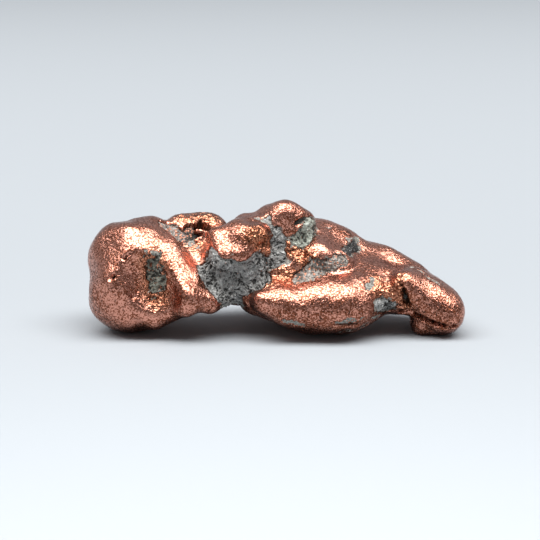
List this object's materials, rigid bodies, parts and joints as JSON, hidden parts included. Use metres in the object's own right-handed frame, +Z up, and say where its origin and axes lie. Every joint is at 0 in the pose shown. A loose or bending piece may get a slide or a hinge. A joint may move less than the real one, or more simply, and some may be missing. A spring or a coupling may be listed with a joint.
{
  "type": "native copper nugget",
  "caption": "Lumpy, polished native copper nugget with grey-green rock seated in its hollows, lying on worn spots under its head, belly and tail.",
  "frame": {"origin": "centre of the bounding box on the plane that the nugget lies on", "axes": "+X along the nugget from the round head to the narrow tail, +Y to the back, away from the side with the large rock patch, +Z up"},
  "size_m": [0.0624, 0.0224, 0.0214],
  "materials": {
    "copper": "polished native copper, finely pitted",
    "rock_grey": "rough, grainy",
    "rock_green": "rough, pale grey-green",
    "rock_pale": "rough, pale and streaky",
    "rock_dark": "rough, almost black"
  },
  "bodies": {
    "root": {"copper_nugget": "copper", "rock_main": "rock_grey", "rock_head": "rock_grey", "rock_neck": "rock_pale", "rock_green": "rock_green", "rock_streak": "rock_pale", "rock_slot": "rock_dark", "rock_elbow": "rock_grey", "rock_belly": "rock_pale", "rock_back": "rock_grey", "rock_back_tail": "rock_pale"}
  },
  "joints": []
}
